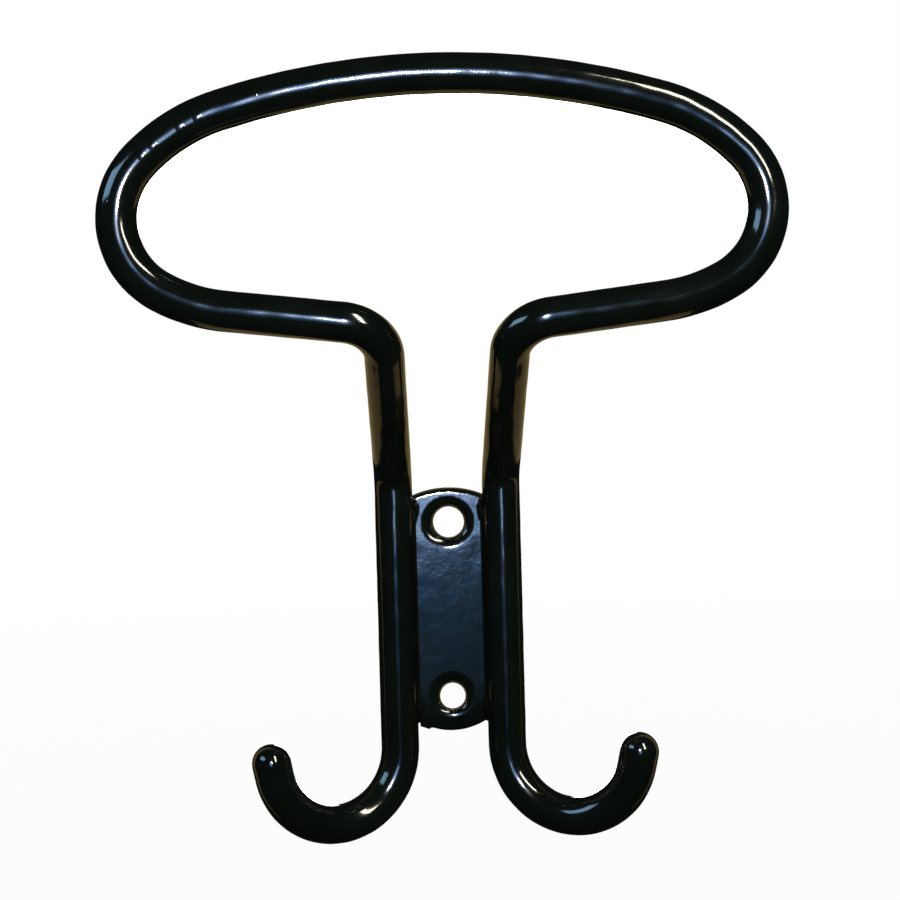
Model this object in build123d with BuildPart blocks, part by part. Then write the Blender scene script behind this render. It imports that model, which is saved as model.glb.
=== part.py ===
"""Wall-mounted saddle rack with two hooks: a dip-coated bent rod welded to a screw plate.

Frame: millimetres, +Z up. The wall is the plane Y = 0 and the rack stands out from it towards -Y.
The origin is on the wall, midway between the two screw holes.
"""
from build123d import *
from math import cos, radians, sin, sqrt, tan
import os

os.makedirs("parts", exist_ok=True)

# ---------------------------------------------------------------- driving dimensions, mm and degrees
rod_diameter = 9.5  # 3/8 in round steel bar
coat = 0.75  # thickness of the vinyl dip

# legs, flat against the wall
leg_x = 15.7  # centre of each leg, from the middle
forward_bend_z = 38.8  # corner where the leg turns away from the wall
forward_bend_radius = 9.0
hook_start_z = -40.0  # where the straight leg ends and the hook's bend starts

# hoop: a flattened loop in a plane parallel to the wall, four tangent arcs a side
hoop_reach = 40.5  # how far the hoop stands in front of the legs
hoop_top_z = 147.5  # rod centre at the crown
crown_radius, crown_angle = 205.0, 16.8
shoulder_radius, shoulder_angle = 50.5, 29.0
end_radius, end_angle = 22.0, 105.0
return_radius, return_angle = 46.0, 22.5
hoop_corner_x = 17.4  # corner where the lower run of the hoop meets the rising leg
hoop_corner_radius = 12.0

# hooks
hook_radius, hook_angle = 20.0, 168.0
hook_yaw = 26.0  # each hook swings this far forward, off the wall
hook_tail_length = 4.0  # straight stretch before the tip
tip_overrun = 2.5  # steel beyond the centre of the coat's domed end
tip_chamfer = 1.0

# plate
plate_thickness = 3.2  # 1/8 in
plate_height = 69.0  # over both arc-shaped ends
plate_end_radius = 26.0
fit_gap = 0.15  # between plate and rod, before welding
screw_spacing = 50.8  # 2 in
screw_hole = 10.0  # bare steel hole; the dip narrows it
countersink, countersink_angle = 15.0, 82.0
coat_edge_radius = 1.2  # the dip rounds the plate's edges

# weld beads
weld_radius = 1.3
weld_length = 5.0
weld_inset = 4.6  # centre of a bead, from the centre line of the leg
weld_end_margin = 5.6  # centre of a bead, from the end of the plate
weld_lift = 0.5  # centre of a bead, in front of the plate's face

# ---------------------------------------------------------------- derived dimensions
rod_radius = rod_diameter / 2
coated_radius = rod_radius + coat
rod_y = -coated_radius  # rod centre, with the coat touching the wall
hoop_y = rod_y - hoop_reach
plate_front_y = -(coat + plate_thickness)
plate_half_width = leg_x - sqrt(rod_radius**2 - (plate_front_y - rod_y) ** 2) - fit_gap
coated_thickness = plate_thickness + 2 * coat
screw_positions = [(0, screw_spacing / 2), (0, -screw_spacing / 2)]

# the countersink's cone moved in by the coat, measured where it meets the coated face
half_cone = radians(countersink_angle / 2)
coated_countersink = countersink + 2 * coat * (tan(half_cone) - 1 / cos(half_cone))

# ---------------------------------------------------------------- centre line of the rod
with BuildLine(Plane.XZ.offset(-hoop_y)) as hoop_half:
    crown = JernArc((0, hoop_top_z), (1, 0), crown_radius, -crown_angle)
    shoulder = JernArc(crown @ 1, crown % 1, shoulder_radius, -shoulder_angle)
    end_bend = JernArc(shoulder @ 1, shoulder % 1, end_radius, -end_angle)
    return_bend = JernArc(end_bend @ 1, end_bend % 1, return_radius, -return_angle)

run_start = return_bend @ 1
run_direction = return_bend % 1
run_length = (hoop_corner_x - run_start.X) / run_direction.X
hoop_corner = run_start + run_direction * run_length
forward_corner = Vector(leg_x, rod_y, forward_bend_z)
hook_start = Vector(leg_x, rod_y, hook_start_z)

with BuildLine() as leg_half:
    FilletPolyline(
        run_start,
        hoop_corner,
        forward_corner,
        hook_start,
        radius=[hoop_corner_radius, forward_bend_radius],
    )

outward = Vector(cos(radians(hook_yaw)), -sin(radians(hook_yaw)), 0)
hook_plane = Plane(origin=hook_start, x_dir=outward, z_dir=outward.cross(Vector(0, 0, 1)))
with BuildLine(hook_plane) as hook_half:
    hook_bend = JernArc((0, 0), (0, -1), hook_radius, hook_angle)
    hook_tail = PolarLine(hook_bend @ 1, hook_tail_length, direction=hook_bend % 1)

with BuildLine() as centre_line:
    add(hoop_half.line)
    add(leg_half.line)
    add(hook_half.line)
    mirror(about=Plane.YZ)
rod_path = centre_line.wires()[0]

# the two ends of the centre line, each plane facing out of the bar
end_planes = [
    Plane(origin=rod_path @ 0, z_dir=(rod_path % 0) * -1),
    Plane(origin=rod_path @ 1, z_dir=rod_path % 1),
]


# ---------------------------------------------------------------- shapes made bare and again as coated
def swept_bar(radius):
    """A round bar of the given radius along the whole centre line."""
    with BuildPart() as bar:
        with BuildSketch(Plane(origin=rod_path @ 0, z_dir=rod_path % 0)):
            Circle(radius)
        sweep(path=rod_path)
    return bar.part


def plate_outline(grow):
    """The plate's outline with its arc-shaped ends, larger all round by grow."""
    half_width = plate_half_width + grow
    arc_radius = plate_end_radius + grow
    arc_centre = plate_height / 2 - plate_end_radius
    corner = arc_centre + sqrt(arc_radius**2 - half_width**2)
    top = arc_centre + arc_radius
    with BuildSketch() as outline:
        with BuildLine():
            ThreePointArc((-half_width, corner), (0, top), (half_width, corner))
            Line((half_width, corner), (half_width, -corner))
            ThreePointArc((half_width, -corner), (0, -top), (-half_width, -corner))
            Line((-half_width, -corner), (-half_width, corner))
        make_face()
    return outline.sketch


def weld_bead(side, up, grow):
    """A short round-ended bead in the groove between plate and leg, at one corner of the plate."""
    centre = Vector(
        side * (leg_x - weld_inset),
        plate_front_y - weld_lift,
        up * (plate_height / 2 - weld_end_margin),
    )
    half_core = weld_length / 2 - weld_radius
    with BuildPart() as bead:
        with Locations(centre):
            Cylinder(weld_radius + grow, 2 * half_core)
        with Locations(centre + Vector(0, 0, half_core), centre - Vector(0, 0, half_core)):
            Sphere(weld_radius + grow)
    return bead.part


# ---------------------------------------------------------------- bent rod
steel_bar = swept_bar(rod_radius)
with BuildPart() as bent_rod:
    add(steel_bar)
    for end in end_planes:
        with BuildSketch(end):
            Circle(rod_radius)
        extrude(amount=tip_overrun - tip_chamfer)
        with BuildSketch(end.offset(tip_overrun - tip_chamfer)):
            Circle(rod_radius)
        extrude(amount=tip_chamfer, taper=45)
bent_rod.part.label = "bent_rod"
export_step(bent_rod.part, "parts/bent_rod.step")

# ---------------------------------------------------------------- mounting plate
with BuildPart() as mounting_plate:
    with BuildSketch(Plane.XZ.offset(coat)):
        add(plate_outline(0))
    extrude(amount=plate_thickness)
    with Locations(Plane.XZ.offset(-plate_front_y)):
        with Locations(*screw_positions):
            CounterSinkHole(screw_hole / 2, countersink / 2, counter_sink_angle=countersink_angle)
mounting_plate.part.label = "mounting_plate"
export_step(mounting_plate.part, "parts/mounting_plate.step")

# ---------------------------------------------------------------- weld beads
weld_corners = {
    "weld_upper_left": (-1, 1),
    "weld_upper_right": (1, 1),
    "weld_lower_left": (-1, -1),
    "weld_lower_right": (1, -1),
}
weld_parts = []
for name, corner in weld_corners.items():
    round_bead = weld_bead(*corner, grow=0)
    with BuildPart() as weld:
        add(round_bead)
        add(bent_rod.part, mode=Mode.SUBTRACT)
        add(mounting_plate.part, mode=Mode.SUBTRACT)
    weld.part.label = name
    export_step(weld.part, f"parts/{name}.step")
    weld_parts.append(weld.part)

# ---------------------------------------------------------------- vinyl coating
with BuildPart() as coated_plate:
    with BuildSketch(Plane.XZ):
        add(plate_outline(coat))
    extrude(amount=coated_thickness)
    fillet(coated_plate.faces().filter_by(Axis.Y).edges(), coat_edge_radius)

coated_bar = swept_bar(coated_radius)
coated_beads = [weld_bead(*corner, grow=coat) for corner in weld_corners.values()]
with BuildPart() as vinyl_coating:
    add(coated_bar)
    with Locations(*end_planes):
        Sphere(coated_radius)
    add(coated_plate.part)
    add(coated_beads)
    with Locations(Plane.XZ.offset(coated_thickness)):
        with Locations(*screw_positions):
            CounterSinkHole(
                screw_hole / 2 - coat,
                coated_countersink / 2,
                counter_sink_angle=countersink_angle,
            )
    add(bent_rod.part, mode=Mode.SUBTRACT)
    add(mounting_plate.part, mode=Mode.SUBTRACT)
    add(weld_parts, mode=Mode.SUBTRACT)
vinyl_coating.part.label = "vinyl_coating"
export_step(vinyl_coating.part, "parts/vinyl_coating.step")
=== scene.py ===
"""Looks of the saddle rack: a glossy black vinyl dip over the bent rod, plate and welds.

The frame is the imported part's: metres, +Z up, the wall at Y = 0, the rack standing out towards -Y.
The shape of the dip is worked out in millimetres, and its meshes are in metres like the rest.
"""
from math import cos, pi, radians, sin, tan

import bmesh
import bpy
import numpy as np
from mathutils import Matrix, Vector


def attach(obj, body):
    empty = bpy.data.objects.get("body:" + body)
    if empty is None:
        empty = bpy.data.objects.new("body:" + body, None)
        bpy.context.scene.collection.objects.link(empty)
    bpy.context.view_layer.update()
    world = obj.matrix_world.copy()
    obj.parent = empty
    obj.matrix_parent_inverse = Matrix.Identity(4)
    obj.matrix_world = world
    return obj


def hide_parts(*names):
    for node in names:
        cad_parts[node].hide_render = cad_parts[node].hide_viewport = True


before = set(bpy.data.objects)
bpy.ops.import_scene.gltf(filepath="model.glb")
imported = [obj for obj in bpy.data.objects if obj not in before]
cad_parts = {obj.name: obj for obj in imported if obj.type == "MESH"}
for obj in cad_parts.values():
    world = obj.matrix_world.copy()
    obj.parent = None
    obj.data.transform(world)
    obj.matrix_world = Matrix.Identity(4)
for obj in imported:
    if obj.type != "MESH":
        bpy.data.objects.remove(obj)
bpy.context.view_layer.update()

# ---------------------------------------------------------------- the rod's bends, mm and degrees
COATED_RADIUS = 5.5
LEG_X = 15.7
ROD_Y = -COATED_RADIUS
FORWARD_BEND_Z, FORWARD_BEND_RADIUS = 38.8, 9.0
HOOK_START_Z = -40.0
HOOP_FORWARD = 40.5
HOOP_Y = ROD_Y - HOOP_FORWARD
HOOP_TOP_Z = 147.5
HOOP_BENDS = ((205.0, 16.8), (50.5, 29.0), (22.0, 105.0), (46.0, 22.5))  # radius, angle, from the crown
HOOP_CORNER_X, HOOP_CORNER_RADIUS = 17.4, 12.0
HOOK_RADIUS, HOOK_ANGLE, HOOK_YAW, HOOK_TAIL = 20.0, 168.0, 26.0, 4.0

# ---------------------------------------------------------------- plate, holes and welds under the dip, mm
PLATE_DEPTH = 4.7
PLATE_HALF_HEIGHT = 35.25
PLATE_END_RADIUS = 26.75
FRONT_ROUND, BACK_ROUND = 1.4, 0.8
CROWN_START, CROWN = 20.0, 0.0022  # the face falls away towards the plate's ends
LIP_DROP, LIP_RADIUS = 36.3, 18.5  # the dip sags into a lip along the plate's lower edge
SCREW_Z = 25.4
HALF_CONE = radians(41.0)
HOLE_POOL, HOLE_ROUND = 1.0, 1.6
HOLES = (  # height, radius of the opening, how far it sits off the screw's axis, radius of the cone's mouth
    (SCREW_Z, 4.5, (0.3, -0.35), 6.0),
    (-SCREW_Z, 3.75, (0.2, -0.9), 4.9),
)
WELD_X, WELD_Y, WELD_Z = 11.1, -4.45, 28.9
WELD_BALLS = ((-2.1, 1.75), (-0.8, 2.05), (0.7, 2.1), (2.0, 1.7))  # place along the bead, radius
WELD_POOL = 0.6
POOL, BACK_POOL_SHARE = 0.9, 0.02  # how far the dip pools in a corner, and the share of it left at the wall
DROP_PLACE, DROP_RADIUS, DROP_POOL = (-8.3, -2.3, -35.2), 1.5, 1.2  # a hardened drop on the lip
WALL_ROUND = 0.3  # edge where the coat meets the wall

# ---------------------------------------------------------------- beads and ripples in the dip, mm
BEAD_TURNS = (6.5, 12.5, 22.5, 27.0)  # degrees round the hoop's left shoulder, its second bend
BEAD_TILT = radians(10.5)  # how far the beads sit in from the front of the rod
BEAD_HEIGHT, BEAD_LONG, BEAD_WIDE = 0.09, 1.3, 2.2
BEAD_REACH = 2.2  # how far around a bead the mesh is finer
RIPPLE_HEIGHT = 0.010
RIPPLES = (  # length of the wave, direction, phase
    (9.0, (1, 0.3, 0.6), 0.0),
    (7.3, (-0.5, 1, 0.2), 1.3),
    (11.1, (0.2, -0.4, 1), 2.1),
    (5.7, (0.8, 0.7, -0.6), 4.0),
    (6.6, (0.3, 0.6, 0.9), 5.2),
)
PLATE_CALM = 0.15  # share of the ripples left on the plate's face
CALM_X, CALM_FADE, CALM_BEHIND, CALM_Z = 4.5, 9.0, 1.5, 40.0  # where the plate's calm ends

# ---------------------------------------------------------------- mesh
MM = 0.001
VOXEL = 0.7  # mm
SLOPE_STEP = 0.01  # mm
SAME_PLACE = 1e-7  # metres between two vertices that are one


def unit(v):
    return v / np.linalg.norm(v)


# ---------------------------------------------------------------- centre line: straights and bends
class Straight:
    """A straight run, held by its start and the way to its end."""

    def __init__(self, start, end):
        self.start = start
        self.span = end - start

    def distance(self, points):
        along = (points - self.start) @ self.span / (self.span @ self.span)
        nearest = self.start + np.clip(along, 0, 1)[:, None] * self.span
        return np.linalg.norm(points - nearest, axis=1)


class Bend:
    """An arc, held by its centre, the direction to its middle and the tangent there."""

    def __init__(self, centre, middle, tangent, radius, half_angle):
        self.centre, self.middle, self.tangent = centre, middle, tangent
        self.radius, self.half_angle = radius, half_angle

    def distance(self, points):
        rel = points - self.centre
        turn = np.arctan2(rel @ self.tangent, rel @ self.middle)
        turn = np.clip(turn, -self.half_angle, self.half_angle)[:, None]
        nearest = self.radius * (np.cos(turn) * self.middle + np.sin(turn) * self.tangent)
        return np.linalg.norm(rel - nearest, axis=1)


class RodPath:
    """Follows the rod bend by bend, as a bending machine would."""

    def __init__(self, start, heading):
        self.place, self.heading, self.pieces = np.array(start, float), np.array(heading, float), []

    def straight(self, length):
        end = self.place + self.heading * length
        self.pieces.append(Straight(self.place, end))
        self.place = end

    def bend(self, towards, radius, angle):
        half = angle / 2
        centre = self.place + towards * radius
        middle = self.heading * sin(half) - towards * cos(half)
        tangent = self.heading * cos(half) + towards * sin(half)
        self.pieces.append(Bend(centre, middle, tangent, radius, half))
        self.place = centre + radius * (self.heading * sin(angle) - towards * cos(angle))
        self.heading = self.heading * cos(angle) + towards * sin(angle)

    def corner(self, point, beyond, radius):
        """Runs to a sharp corner at point, rounded by radius, and leaves it towards beyond."""
        leaving = unit(beyond - point)
        angle = np.arccos(self.heading @ leaving)
        trim = radius * tan(angle / 2)
        self.straight(np.linalg.norm(point - self.place) - trim)
        self.bend(unit(leaving - self.heading * cos(angle)), radius, angle)


def half_rod():
    """The right half of the rod's centre line, from the crown of the hoop to the tip of the hook."""
    rod = RodPath((0, HOOP_Y, HOOP_TOP_Z), (1, 0, 0))
    for radius, angle in HOOP_BENDS:
        inward = np.array([rod.heading[2], 0, -rod.heading[0]])
        rod.bend(inward, radius, radians(angle))
    run = (HOOP_CORNER_X - rod.place[0]) / rod.heading[0]
    hoop_corner = rod.place + rod.heading * run
    forward_corner = np.array([LEG_X, ROD_Y, FORWARD_BEND_Z])
    hook_start = np.array([LEG_X, ROD_Y, HOOK_START_Z])
    rod.corner(hoop_corner, forward_corner, HOOP_CORNER_RADIUS)
    rod.corner(forward_corner, hook_start, FORWARD_BEND_RADIUS)
    rod.straight(rod.place[2] - HOOK_START_Z)
    yaw = radians(HOOK_YAW)
    rod.bend(np.array([cos(yaw), -sin(yaw), 0]), HOOK_RADIUS, radians(HOOK_ANGLE))
    rod.straight(HOOK_TAIL)
    return rod


ROD = half_rod()


# ---------------------------------------------------------------- distance fields, mm, negative inside
def folded(points):
    """The same points on the right half: the rack is its own mirror image."""
    return np.column_stack([np.abs(points[:, 0]), points[:, 1:]])


def rod_field(points):
    """The coated rod, both halves."""
    right = folded(points)
    return np.min([piece.distance(right) for piece in ROD.pieces], axis=0) - COATED_RADIUS


def rounded_overlap(a, b, radius):
    """Overlap of two fields, its edge rounded by radius."""
    corner = np.hypot(np.maximum(a + radius, 0), np.maximum(b + radius, 0))
    return np.minimum(np.maximum(a, b), -radius) + corner


def pooled_union(a, b, pool):
    """Union of two fields with a smooth pooled fillet between them."""
    blend = np.maximum(pool - np.abs(a - b), 0) / pool
    return np.minimum(a, b) - blend**2 * pool / 4


def arched(x, z, height, radius):
    """Below an arc that tops out at height above the plate's middle."""
    return np.hypot(x, np.maximum(z - (height - radius), 0)) - radius


def plate_field(points):
    """The coated plate: it runs on under the legs' coat, and its face falls away at the ends."""
    x, y, z = points.T
    sides = np.abs(x) - LEG_X
    top = arched(x, z, PLATE_HALF_HEIGHT, PLATE_END_RADIUS)
    bottom = arched(x, -z, LIP_DROP, LIP_RADIUS)
    outline = np.max([sides, top, bottom], axis=0)
    crown = CROWN * np.maximum(np.abs(z) - CROWN_START, 0) ** 2
    front = rounded_overlap(outline, -y - PLATE_DEPTH + crown, FRONT_ROUND)
    return rounded_overlap(front, y, BACK_ROUND)


def hole_field(points, centre_z, radius, aside, mouth):
    """A countersunk hole through the dip: a straight bore that opens into a cone at the front."""
    x, y, z = points.T
    out = np.hypot(x, z - centre_z)
    bore = np.hypot(x - aside[0], z - centre_z - aside[1]) - radius
    cone = (out - mouth + (y + PLATE_DEPTH) * tan(HALF_CONE)) * cos(HALF_CONE)
    return pooled_union(bore, cone, HOLE_POOL)


def weld_field(points):
    """The four weld beads, each a row of overlapping balls."""
    x, y, z = points.T
    across = (np.abs(x) - WELD_X) ** 2 + (y - WELD_Y) ** 2
    balls = [np.sqrt(across + (np.abs(z) - WELD_Z - place) ** 2) - radius for place, radius in WELD_BALLS]
    return np.min(balls, axis=0)


def ripples(points):
    """Slow sine waves, one on top of another."""
    total = 0.0
    for length, way, phase in RIPPLES:
        total = total + np.sin(points @ unit(np.array(way)) * 2 * pi / length + phase)
    return total


def bead_places():
    """Where the beads sit on the hoop's left shoulder, with the direction of the rod there."""
    shoulder = ROD.pieces[1]
    mirrored = np.array([-1, 1, 1])
    for turn in BEAD_TURNS:
        past_middle = radians(turn) - shoulder.half_angle
        outward = cos(past_middle) * shoulder.middle + sin(past_middle) * shoulder.tangent
        onward = cos(past_middle) * shoulder.tangent - sin(past_middle) * shoulder.middle
        front = np.array([0, -cos(BEAD_TILT), 0]) - sin(BEAD_TILT) * outward
        place = shoulder.centre + shoulder.radius * outward + COATED_RADIUS * front
        yield place * mirrored, onward * mirrored


def beads(points):
    """Tiny beads of vinyl in the coat, as low caps."""
    total = 0.0
    for place, onward in bead_places():
        apart = points - place
        along = apart @ onward
        across = np.sum(apart**2, axis=1) - along**2
        total = total + np.maximum(0, 1 - along**2 / BEAD_LONG**2 - across / BEAD_WIDE**2) ** 1.5
    return BEAD_HEIGHT * total


def unevenness(points):
    """How a hand-dipped coat stands proud: beads, and slow ripples that are calmer on the plate's face."""
    x, y, z = points.T
    inside = np.clip(1 - (np.abs(x) - CALM_X) / CALM_FADE, 0, 1)
    forward = np.clip(-y - PLATE_DEPTH + CALM_BEHIND, 0, 1)
    on_plate = inside * forward * (np.abs(z) < CALM_Z)
    calm = 1 - (1 - PLATE_CALM) * on_plate
    return beads(points) + RIPPLE_HEIGHT * calm * ripples(points)


def coat_field(points):
    """The dip's outer surface, over the rod, plate and welds and flat against the wall."""
    pool = POOL * np.clip(-points[:, 1] / PLATE_DEPTH, BACK_POOL_SHARE, 1)
    drop = np.linalg.norm(points - np.array(DROP_PLACE), axis=1) - DROP_RADIUS
    body = pooled_union(rod_field(points), plate_field(points), pool)
    body = pooled_union(body, weld_field(points), WELD_POOL)
    body = pooled_union(body, drop, DROP_POOL)
    for hole in HOLES:
        body = rounded_overlap(body, -hole_field(points, *hole), HOLE_ROUND)
    return rounded_overlap(body - unevenness(points), points[:, 1], WALL_ROUND)


def slope(points):
    """Gradient of the coat's field by central differences."""
    parts = []
    for axis in np.eye(3):
        step = SLOPE_STEP * axis
        parts.append((coat_field(points + step) - coat_field(points - step)) / (2 * SLOPE_STEP))
    return np.column_stack(parts)


def settled(points, rounds):
    """Points moved onto the zero surface of the coat."""
    for _ in range(rounds):
        normal = slope(points)
        points = points - (coat_field(points) / np.sum(normal**2, axis=1))[:, None] * normal
    return points


# ---------------------------------------------------------------- the dip's mesh
def shells(mesh):
    """The closed shells of a CAD mesh, largest first, as (vertices, faces)."""
    bm = bmesh.new()
    bm.from_mesh(mesh)
    bmesh.ops.remove_doubles(bm, verts=bm.verts, dist=SAME_PLACE)
    bm.verts.index_update()
    seen, found = set(), []
    for seed in bm.verts:
        if seed in seen:
            continue
        seen.add(seed)
        shell, waiting = [seed], [seed]
        while waiting:
            for edge in waiting.pop().link_edges:
                for vert in edge.verts:
                    if vert not in seen:
                        seen.add(vert)
                        shell.append(vert)
                        waiting.append(vert)
        number = {vert: i for i, vert in enumerate(shell)}
        faces = {face for vert in shell for face in vert.link_faces}
        ordered = sorted(faces, key=lambda face: face.index)
        found.append((
            np.array([vert.co for vert in shell]),
            [[number[vert] for vert in face.verts] for face in ordered],
        ))
    bm.free()
    return sorted(found, key=lambda shell: -np.linalg.norm(np.ptp(shell[0], axis=0)))


def remeshed(vertices, faces):
    """The same closed surface as even quads."""
    mesh = bpy.data.meshes.new("outer")
    mesh.from_pydata(vertices.tolist(), [], faces)
    rough = bpy.data.objects.new("outer", mesh)
    bpy.context.scene.collection.objects.link(rough)
    grid = rough.modifiers.new("grid", "REMESH")
    grid.mode, grid.voxel_size = "VOXEL", VOXEL * MM
    even = bpy.data.meshes.new_from_object(rough.evaluated_get(bpy.context.evaluated_depsgraph_get()))
    bpy.data.objects.remove(rough)
    return even


def relaxed(points, edges, rounds):
    """Vertices evened out along the surface, then settled on it again."""
    a, b = edges.T
    count = np.bincount(a, minlength=len(points)) + np.bincount(b, minlength=len(points))
    for _ in range(rounds):
        mean = np.column_stack([
            np.bincount(a, points[b, k], len(points)) + np.bincount(b, points[a, k], len(points))
            for k in range(3)
        ]) / count[:, None]
        points = settled((points + mean) / 2, rounds=1)
    return points


def mesh_arrays(mesh):
    """Vertex places in mm, edges, and faces of a mesh."""
    points = np.zeros(len(mesh.vertices) * 3)
    mesh.vertices.foreach_get("co", points)
    edges = np.zeros(len(mesh.edges) * 2, int)
    mesh.edges.foreach_get("vertices", edges)
    faces = [tuple(face.vertices) for face in mesh.polygons]
    return points.reshape(-1, 3) / MM, edges.reshape(-1, 2), faces


def refined(points, faces):
    """The same surface, with the faces around the beads cut four by four."""
    mesh = bpy.data.meshes.new("refined")
    mesh.from_pydata((points * MM).tolist(), [], faces)
    bm = bmesh.new()
    bm.from_mesh(mesh)
    spots = [Vector(place) * MM for place, _ in bead_places()]
    reach = BEAD_REACH * MM
    near = {vert for vert in bm.verts if any((vert.co - spot).length < reach for spot in spots)}
    close = [edge for edge in bm.edges if near.issuperset(edge.verts)]
    bmesh.ops.subdivide_edges(bm, edges=close, cuts=3, use_grid_fill=True)
    bm.to_mesh(mesh)
    bm.free()
    return mesh


def vinyl_dip():
    """The dip as a true skin: its outer surface, and the cavity that the steel fills."""
    outer, *cavities = shells(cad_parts["vinyl_coating"].data)
    points, edges, faces = mesh_arrays(remeshed(*outer))
    points = relaxed(settled(points, rounds=3), edges, rounds=4)
    points, _, faces = mesh_arrays(refined(points, faces))
    points = settled(points, rounds=2)
    normals = slope(points)
    normals /= np.linalg.norm(normals, axis=1)[:, None]
    outside = len(faces)
    for corners, cavity in cavities:
        first = len(points)
        points = np.vstack([points, corners / MM])
        faces += [tuple(first + number for number in face) for face in cavity]
    mesh = bpy.data.meshes.new("vinyl_dip")
    mesh.from_pydata((points * MM).tolist(), [], faces)
    mesh.polygons.foreach_set("use_smooth", [number < outside for number in range(len(faces))])
    own = np.vstack([normals, np.zeros((len(points) - len(normals), 3))])
    mesh.normals_split_custom_set_from_vertices(own.tolist())
    coat = bpy.data.objects.new("vinyl_dip", mesh)
    bpy.context.scene.collection.objects.link(coat)
    return coat


# ---------------------------------------------------------------- materials
MIX_LOW, MIX_HIGH, MIX_RESULT = 6, 7, 2  # the colour sockets of a Mix node
NOISE_SPAN = (0.3, 0.7)  # where most of a noise's values lie
VINYL_IOR = 1.52
VINYL_COLORS = ((0.0012, 0.0019, 0.0014), (0.0019, 0.0028, 0.0021))
VINYL_ROUGHNESS = (0.09, 0.12)
MOTTLE_HEIGHT, PEEL_HEIGHT, NIB_HEIGHT = 0.00006, 0.000003, 0.00006  # metres
MOTTLE_EDGE = (0.012, 0.015)  # beside the plate's middle, where its strong mottle gives way
MOTTLE_ELSEWHERE = 0.3
NIB_RADIUS, NIB_GAPS = 0.07, 0.4  # in cells of the speck pattern, and the share of cells without a speck
STEEL_ROUGHNESS = (0.28, 0.5)
GRAIN_HEIGHT, GRAIN_FINENESS = 0.00002, 6


def material(name):
    """An empty node material, its node tree and its Principled shader."""
    made = bpy.data.materials.new(name)
    made.use_nodes = True
    return made, made.node_tree, made.node_tree.nodes["Principled BSDF"]


def feed(tree, socket, value):
    """Gives a socket a value, or another node's output."""
    if isinstance(value, bpy.types.NodeSocket):
        tree.links.new(value, socket)
    else:
        socket.default_value = value


def node(tree, kind, settings=None, **inputs):
    """Adds a node; an input is a value or another node's output."""
    made = tree.nodes.new(kind)
    for key, value in (settings or {}).items():
        setattr(made, key, value)
    for key, value in inputs.items():
        feed(tree, made.inputs[key.replace("_", " ")], value)
    return made


def worked_out(tree, kind, operation, *values):
    """A Math or Vector Math node over its first inputs."""
    made = node(tree, kind, {"operation": operation})
    for socket, value in zip(made.inputs, values):
        feed(tree, socket, value)
    return made


def object_place(tree):
    return node(tree, "ShaderNodeTexCoord").outputs["Object"]


def object_noise(tree, scale, detail=2.0, roughness=0.5):
    made = node(tree, "ShaderNodeTexNoise", Vector=object_place(tree))
    for name, value in (("Scale", scale), ("Detail", detail), ("Roughness", roughness)):
        made.inputs[name].default_value = value
    return made.outputs["Fac"]


def ranged(tree, value, span, to=(0.0, 1.0)):
    """A value carried from one span to another, and held at its ends."""
    ends = {"From_Min": span[0], "From_Max": span[1], "To_Min": to[0], "To_Max": to[1]}
    return node(tree, "ShaderNodeMapRange", Value=value, **ends).outputs["Result"]


def mixed(tree, factor, low, high):
    """A colour from low to high."""
    tint = node(tree, "ShaderNodeMix", {"data_type": "RGBA"}, Factor=factor)
    tint.inputs[MIX_LOW].default_value = (*low, 1)
    tint.inputs[MIX_HIGH].default_value = (*high, 1)
    return tint.outputs[MIX_RESULT]


def bumped(tree, height, distance, **under):
    """The normal over a height, on top of an earlier bump if its Normal is given."""
    made = node(tree, "ShaderNodeBump", Strength=1.0, Distance=distance, Height=height, **under)
    return made.outputs["Normal"]


def mottle(tree):
    """Soft unevenness of the dip, strong on the plate and weak elsewhere."""
    across = node(tree, "ShaderNodeSeparateXYZ", Vector=object_place(tree)).outputs["X"]
    aside = worked_out(tree, "ShaderNodeMath", "ABSOLUTE", across).outputs[0]
    share = ranged(tree, aside, MOTTLE_EDGE, to=(1.0, MOTTLE_ELSEWHERE))
    clouds = object_noise(tree, scale=200.0, detail=5.0, roughness=0.6)
    return worked_out(tree, "ShaderNodeMath", "MULTIPLY", clouds, share).outputs[0]


def nibs(tree):
    """Sparse dust specks under the dip."""
    cells = node(tree, "ShaderNodeTexVoronoi", Vector=object_place(tree), Scale=170.0)
    lot = node(tree, "ShaderNodeSeparateColor", Color=cells.outputs["Color"]).outputs["Red"]
    chosen = worked_out(tree, "ShaderNodeMath", "GREATER_THAN", lot, NIB_GAPS).outputs[0]
    near = ranged(tree, cells.outputs["Distance"], (0.0, NIB_RADIUS), to=(1.0, 0.0))
    return worked_out(tree, "ShaderNodeMath", "MULTIPLY", near, chosen).outputs[0]


def black_vinyl():
    made, tree, shader = material("black_vinyl")
    shader.inputs["IOR"].default_value = VINYL_IOR
    cloud = ranged(tree, object_noise(tree, scale=60.0, detail=3.0), (0.35, 0.65))
    haze = ranged(tree, object_noise(tree, scale=220.0), NOISE_SPAN, to=VINYL_ROUGHNESS)
    feed(tree, shader.inputs["Base Color"], mixed(tree, cloud, *VINYL_COLORS))
    feed(tree, shader.inputs["Roughness"], haze)
    normal = bumped(tree, mottle(tree), MOTTLE_HEIGHT)
    normal = bumped(tree, object_noise(tree, scale=900.0), PEEL_HEIGHT, Normal=normal)
    feed(tree, shader.inputs["Normal"], bumped(tree, nibs(tree), NIB_HEIGHT, Normal=normal))
    return made


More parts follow.
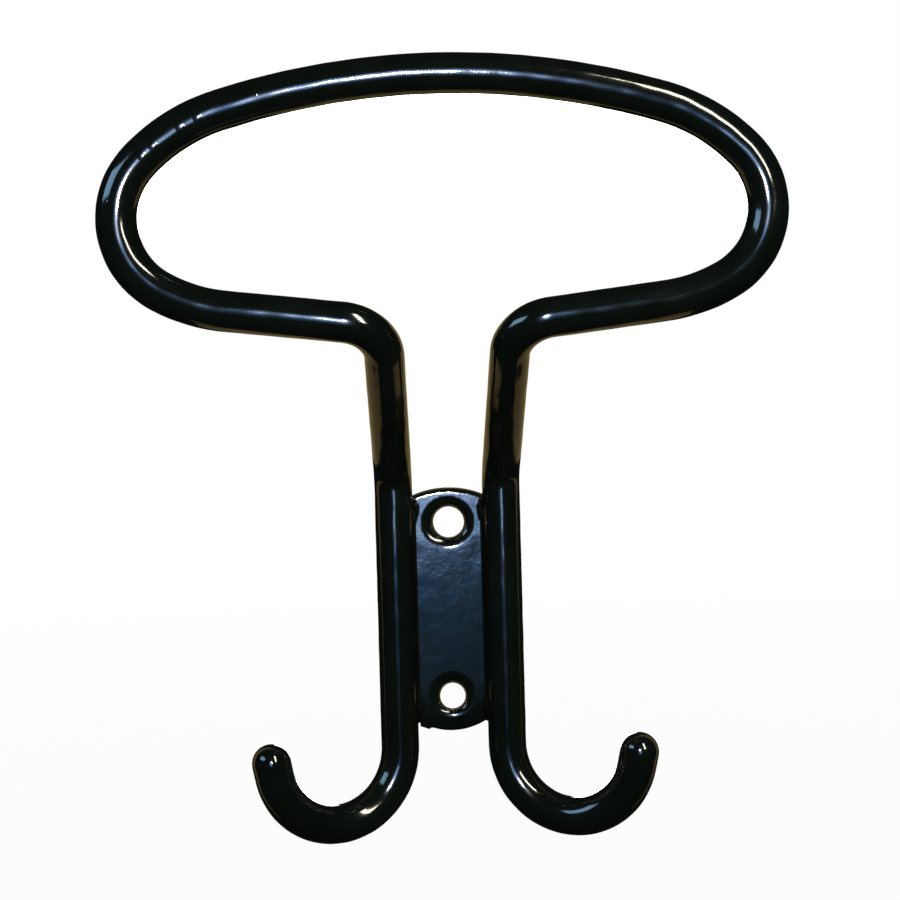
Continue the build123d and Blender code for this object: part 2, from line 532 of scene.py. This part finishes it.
def bare_steel(name, low, high, scale):
    """Steel with darker and duller clouds, and a fine grain."""
    made, tree, shader = material(name)
    shader.inputs["Metallic"].default_value = 1.0
    cloud = object_noise(tree, scale, detail=4.0)
    grain = object_noise(tree, scale * GRAIN_FINENESS, detail=3.0)
    feed(tree, shader.inputs["Base Color"], mixed(tree, ranged(tree, cloud, NOISE_SPAN), low, high))
    feed(tree, shader.inputs["Roughness"], ranged(tree, cloud, NOISE_SPAN, to=STEEL_ROUGHNESS))
    feed(tree, shader.inputs["Normal"], bumped(tree, grain, GRAIN_HEIGHT))
    return made


def dress(name, finish):
    """Gives a CAD piece one material."""
    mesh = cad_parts[name].data
    mesh.materials.clear()
    mesh.materials.append(finish)


dress("bent_rod", bare_steel("steel_bar", (0.38, 0.38, 0.39), (0.52, 0.52, 0.53), 150.0))
dress("mounting_plate", bare_steel("steel_plate", (0.30, 0.31, 0.33), (0.46, 0.46, 0.47), 90.0))
weld_metal = bare_steel("weld_metal", (0.22, 0.21, 0.21), (0.42, 0.40, 0.38), 600.0)
for weld in ("weld_upper_left", "weld_upper_right", "weld_lower_left", "weld_lower_right"):
    dress(weld, weld_metal)

coat = vinyl_dip()
coat.data.materials.append(black_vinyl())
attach(coat, "root")
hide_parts("vinyl_coating")


# ---------------------------------------------------------------- camera
CAMERA_PLACE = Vector((-15.1, -491.3, 55.3)) * MM
CAMERA_AIM = Vector((1.35, 0.0, 46.2)) * MM
CAMERA_ROLL = radians(1.54)
CAMERA_LENS, CAMERA_SENSOR = 66.6, 36


def place_camera():
    """The photograph's view of the rack."""
    forward = (CAMERA_AIM - CAMERA_PLACE).normalized()
    right = forward.cross(Vector((0, 0, 1))).normalized()
    up = right.cross(forward)
    rolled_right = right * cos(CAMERA_ROLL) - up * sin(CAMERA_ROLL)
    rolled_up = right * sin(CAMERA_ROLL) + up * cos(CAMERA_ROLL)
    camera = bpy.data.objects.new("camera", bpy.data.cameras.new("camera"))
    camera.data.lens = CAMERA_LENS
    camera.data.sensor_width = CAMERA_SENSOR
    camera.data.clip_start = 0.01
    turn = Matrix((rolled_right, rolled_up, -forward)).transposed().to_4x4()
    camera.matrix_world = Matrix.Translation(CAMERA_PLACE) @ turn
    bpy.context.scene.collection.objects.link(camera)
    bpy.context.scene.camera = camera


place_camera()

# ---------------------------------------------------------------- studio, metres
MIDDLE = Vector((0, -0.03, 0.045))  # what the lights point at
LIGHT_DISTANCE = 0.8
FLASH_Y, FLASH_Z = -0.52, 0.134

HALO_Y, HALO_HALF = -0.8, 0.32  # the card that glows around the flash, and half its side
HALO_CENTRE = (-0.013, HALO_Y, 0.153)
HALO_REACH, HALO_NARROW = 0.40, 1.9  # height from the centre to the rim, and how much narrower it is
HALO_STRENGTH = 14.0
HALO_COLORS = (  # share of the reach, colour
    (0.0, (0.42, 0.55, 1.05)),
    (0.20, (0.27, 0.43, 0.76)),
    (0.30, (0.18, 0.33, 0.62)),
    (0.38, (0.11, 0.21, 0.43)),
    (0.45, (0.043, 0.118, 0.270)),
    (0.50, (0.022, 0.060, 0.138)),
    (0.56, (0.013, 0.042, 0.096)),
    (0.63, (0.007, 0.022, 0.048)),
    (0.72, (0.007, 0.015, 0.029)),
    (0.86, (0.006, 0.012, 0.022)),
)
GLINT_Z = -0.006

# the board is painted light: it glows instead of being lit, standing in for a lit tan wall that the vinyl
# mirrors
BOARD_Y = 0.0005
BOARD_GLOW_COLORS = ((0.44, 0.32, 0.12), (0.56, 0.42, 0.18))
BOARD_CONTACT_SHADE = (0.003, 0.004)  # painted contact shade: what is nearer to the board than this sees it dark and doesn't mirror it
BOARD_MIDDLE = (  # height and half width of the board behind the hoop, down to behind the plate
    (0.108, 0.038),
    (0.066, 0.034),
    (0.064, 0.020),
    (0.026, 0.018),
    (0.024, 0.022),
    (-0.032, 0.014),
)
BOARD_ARCH = (  # inner and outer edge of the board beside the rises, (x, z), from the top down
    ((0.022, 0.048), (0.030, 0.074)),
    ((0.040, 0.028), (0.066, 0.056)),
    ((0.058, 0.004), (0.096, 0.016)),
    ((0.082, -0.038), (0.122, -0.045)),
    ((0.118, -0.110), (0.165, -0.140)),
    ((0.190, -0.300), (0.300, -0.400)),
)

FLOOR_Z, FLOOR_RADIUS, FLOOR_SIDES = -0.095, 1.5, 64
FLOOR_FADE = (0.1, 1.0)  # from the floor's own tone to white
FLOOR_COLOR = (0.97, 0.97, 0.965)
DARK_ROOM = (0.012, 0.015, 0.015)
WHITE = (1, 1, 1)


def around(azimuth, elevation):
    """A place around the rack: azimuth 0 is in front of it, positive to the right, in degrees."""
    a, e = radians(azimuth), radians(elevation)
    return MIDDLE + LIGHT_DISTANCE * Vector((sin(a) * cos(e), -cos(a) * cos(e), sin(e)))


def level(left, right, y, z):
    """The two ends of a level light."""
    return Vector((left, y, z)), Vector((right, y, z))


def softbox(name, start, end, width, radiance, color, shape="RECTANGLE"):
    """An area light from start to end, facing the rack and as bright as radiance whatever its size."""
    place = (start + end) / 2
    along = (end - start).normalized()
    back = (place - MIDDLE).normalized()
    back = (back - back.dot(along) * along).normalized()
    lamp = bpy.data.lights.new(name, "AREA")
    lamp.shape = shape
    lamp.size, lamp.size_y = (end - start).length, width
    lamp.energy = radiance * pi * lamp.size * lamp.size_y
    lamp.color = color
    made = bpy.data.objects.new(name, lamp)
    turn = Matrix((along, back.cross(along), back)).transposed().to_4x4()
    made.matrix_world = Matrix.Translation(place) @ turn
    made.visible_camera = False
    bpy.context.scene.collection.objects.link(made)


def card(name, quads, finish):
    """Flat glowing quads as one piece; the camera doesn't see them and they cast no shadow."""
    corners = [corner for quad in quads for corner in quad]
    mesh = bpy.data.meshes.new(name)
    mesh.from_pydata(corners, [], [tuple(range(i, i + 4)) for i in range(0, len(corners), 4)])
    mesh.materials.append(finish)
    made = bpy.data.objects.new(name, mesh)
    bpy.context.scene.collection.objects.link(made)
    made.visible_camera = False
    made.visible_shadow = False
    made.visible_diffuse = False


def emission(name):
    """A material that only glows, its node tree and its Emission shader."""
    made = bpy.data.materials.new(name)
    made.use_nodes = True
    tree = made.node_tree
    tree.nodes.clear()
    light = node(tree, "ShaderNodeEmission")
    node(tree, "ShaderNodeOutputMaterial", Surface=light.outputs[0])
    return made, tree, light


def halo_glow():
    """A cool glow around the flash that fades out below it."""
    made, tree, light = emission("halo_glow")
    offset = worked_out(tree, "ShaderNodeVectorMath", "SUBTRACT", object_place(tree), HALO_CENTRE)
    oval = worked_out(tree, "ShaderNodeVectorMath", "MULTIPLY", offset.outputs[0], (HALO_NARROW, 0, 1))
    reach = worked_out(tree, "ShaderNodeVectorMath", "LENGTH", oval.outputs[0]).outputs["Value"]
    ramp = node(tree, "ShaderNodeValToRGB", Fac=ranged(tree, reach, (0.0, HALO_REACH)))
    ramp.color_ramp.elements[0].color = (*HALO_COLORS[0][1], 1)
    ramp.color_ramp.elements[1].color = (0, 0, 0, 1)
    for share, color in HALO_COLORS[1:]:
        ramp.color_ramp.elements.new(share).color = (*color, 1)
    feed(tree, light.inputs["Color"], ramp.outputs["Color"])
    light.inputs["Strength"].default_value = HALO_STRENGTH
    return made


def tan_glow():
    """The glow of a warm tan board, painted light that stands in for a lit wall; painted contact shade
    keeps what lies flat against it dark.
    """
    made, tree, light = emission("tan_glow")
    grain = ranged(tree, object_noise(tree, scale=30.0, detail=3.0), NOISE_SPAN)
    # painted contact shade: the glow fades out over the shortest rays
    run = node(tree, "ShaderNodeLightPath").outputs["Ray Length"]
    feed(tree, light.inputs["Color"], mixed(tree, grain, *BOARD_GLOW_COLORS))
    feed(tree, light.inputs["Strength"], ranged(tree, run, BOARD_CONTACT_SHADE))
    return made


def board_quads():
    """The glowing board behind the rack: a strip behind the plate and hoop, and an arch on each side. It is
    left out behind the hooks, so the dark room there is painted shade: the hooks' shadow on the wall.
    """
    quads = []
    for (z_a, half_a), (z_b, half_b) in zip(BOARD_MIDDLE, BOARD_MIDDLE[1:]):
        quad = ((-half_b, z_b), (half_b, z_b), (half_a, z_a), (-half_a, z_a))
        quads.append([(x, BOARD_Y, z) for x, z in quad])
    for side in (-1, 1):
        for (in_a, out_a), (in_b, out_b) in zip(BOARD_ARCH, BOARD_ARCH[1:]):
            quads.append([(side * x, BOARD_Y, z) for x, z in (in_b, out_b, out_a, in_a)])
    return quads


def floor_disc():
    """A pale floor under the rack, round and far wider than it."""
    made, tree, light = emission("pale_floor")
    reach = worked_out(tree, "ShaderNodeVectorMath", "LENGTH", object_place(tree)).outputs["Value"]
    feed(tree, light.inputs["Color"], mixed(tree, ranged(tree, reach, FLOOR_FADE), FLOOR_COLOR, WHITE))
    turns = [2 * pi * i / FLOOR_SIDES for i in range(FLOOR_SIDES)]
    corners = [(FLOOR_RADIUS * cos(turn), FLOOR_RADIUS * sin(turn), FLOOR_Z) for turn in turns]
    mesh = bpy.data.meshes.new("floor")
    mesh.from_pydata(corners, [], [tuple(range(FLOOR_SIDES))])
    mesh.materials.append(made)
    floor = bpy.data.objects.new("floor", mesh)
    bpy.context.scene.collection.objects.link(floor)
    floor.visible_glossy = False
    floor.visible_diffuse = False


def white_world():
    """White where the camera looks past the rack, dark for reflections."""
    world = bpy.data.worlds.new("studio")
    world.use_nodes = True
    bpy.context.scene.world = world
    tree = world.node_tree
    seen = node(tree, "ShaderNodeLightPath").outputs["Is Camera Ray"]
    feed(tree, tree.nodes["Background"].inputs["Color"], mixed(tree, seen, DARK_ROOM, WHITE))


flash_ends = level(-0.028, 0.012, FLASH_Y, FLASH_Z)
glint_ends = level(-0.035, 0.045, HALO_Y, GLINT_Z)
softbox("flash", *flash_ends, width=0.045, radiance=600, color=(1.0, 0.98, 1.0), shape="ELLIPSE")
softbox("glint", *glint_ends, width=0.026, radiance=20, color=(0.5, 0.74, 1.0))
softbox("window", around(-81, 26), around(-46, 26), width=0.22, radiance=7, color=(0.38, 0.68, 1.0))
softbox("lamp", around(30, 15), around(30, 50), width=0.10, radiance=36, color=(1.0, 0.96, 0.78))
softbox("rear", around(172, 0), around(184, 0), width=0.40, radiance=10, color=WHITE)

halo_corners = ((-1, -1), (1, -1), (1, 1), (-1, 1))
card("cool_card", [[(x * HALO_HALF, HALO_Y, z * HALO_HALF) for x, z in halo_corners]], halo_glow())
# a glowing tan board, painted light standing in for a lit wall
card("tan_board_glow", board_quads(), tan_glow())
floor_disc()
white_world()
bpy.context.scene.view_settings.view_transform = "Standard"
